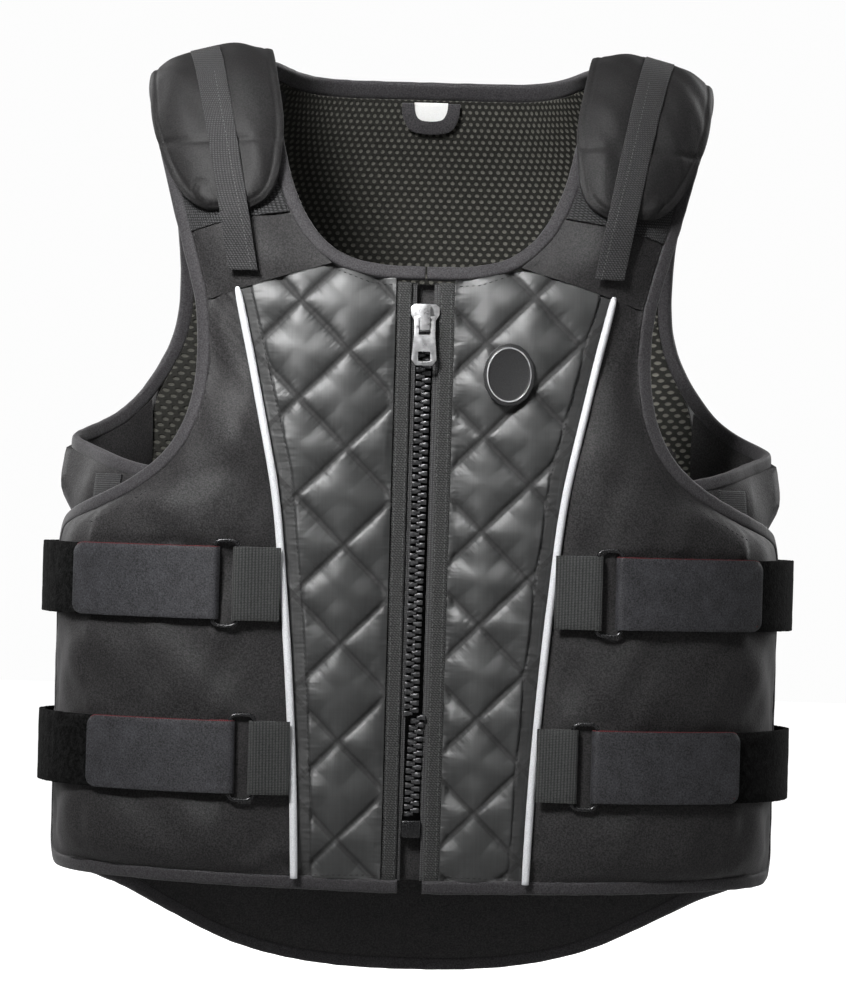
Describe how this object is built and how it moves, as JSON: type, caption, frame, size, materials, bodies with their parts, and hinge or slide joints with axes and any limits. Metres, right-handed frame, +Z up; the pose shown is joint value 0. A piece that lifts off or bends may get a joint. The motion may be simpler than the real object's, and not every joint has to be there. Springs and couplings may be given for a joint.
{
  "type": "equestrian body protector",
  "caption": "Padded riding vest with a front zip, closing shoulder flaps, quilted front, dropped tail and adjustable side straps, shown as worn.",
  "frame": {"origin": "midway between the shoulder straps, level with the inner face of their tops, where the vest hangs on the wearer", "axes": "+Z up, the front with the zip faces -Y, +X is the wearer's left; as worn by a person who stands upright"},
  "size_m": [0.5298, 0.252, 0.6609],
  "materials": {
    "shell": "matt woven polyamide over foam, charcoal",
    "satin": "satin cloth quilted over foam, grey",
    "trim": "stretch binding tape and sewn tape, dark grey",
    "webbing": "woven webbing and tape, dark grey",
    "plush": "brushed loop pile, black",
    "suede": "suede-like strap end with a hook face, charcoal",
    "mesh": "knitted mesh with staggered holes, black",
    "piping": "reflective piping, pale grey",
    "gunmetal": "dark metal zip teeth",
    "silver": "silver zip slider and pull",
    "plastic": "glossy black moulding",
    "rubber": "soft black patch, bare",
    "label": "white woven label, blank"
  },
  "bodies": {
    "vest": {"quilted_panel_left": "satin", "quilted_panel_right": "satin", "front_panel_left": "shell", "front_panel_right": "shell", "yoke_left": "shell", "yoke_right": "shell", "neck_binding_left": "trim", "neck_binding_right": "trim", "front_binding_left": "trim", "front_binding_right": "trim", "piping_left": "piping", "piping_right": "piping", "zip_tape_left": "webbing", "zip_tape_right": "webbing", "placket_left": "trim", "placket_right": "trim", "zip_teeth_left": "gunmetal", "zip_teeth_right": "gunmetal", "side_wing_left": "shell", "side_wing_right": "shell", "back_arm_binding_left": "trim", "back_arm_binding_right": "trim", "wing_strip_left": "webbing", "wing_strip_right": "webbing", "loop_patch_left": "webbing", "loop_patch_right": "webbing", "shoulder_flap_left": "shell", "shoulder_flap_right": "shell", "shoulder_strip_left": "webbing", "shoulder_strip_right": "webbing", "upper_webbing_left": "webbing", "upper_webbing_right": "webbing", "upper_ring_left": "plastic", "upper_ring_right": "plastic", "upper_hook_tab_left": "suede", "upper_hook_tab_right": "suede", "upper_plush_band_left": "plush", "upper_plush_band_right": "plush", "lower_webbing_left": "webbing", "lower_webbing_right": "webbing", "lower_ring_left": "plastic", "lower_ring_right": "plastic", "lower_hook_tab_left": "suede", "lower_hook_tab_right": "suede", "lower_plush_band_left": "plush", "lower_plush_band_right": "plush", "zip_guard": "shell", "zip_slider": "silver", "zip_box": "plastic", "back_panel": "shell", "back_lining": "mesh", "back_neck_binding": "trim", "tail_binding": "trim", "badge_patch": "rubber", "hang_loop": "webbing", "neck_label": "label"},
    "zip_pull": {"zip_pull": "silver"}
  },
  "joints": [
    {"name": "zip_pull_swing", "type": "hinge", "parent": "vest", "child": "zip_pull", "pos_m": [0, -0.11561, -0.17462], "axis": [-1, 0, 0], "range_deg": [0, 170]}
  ]
}
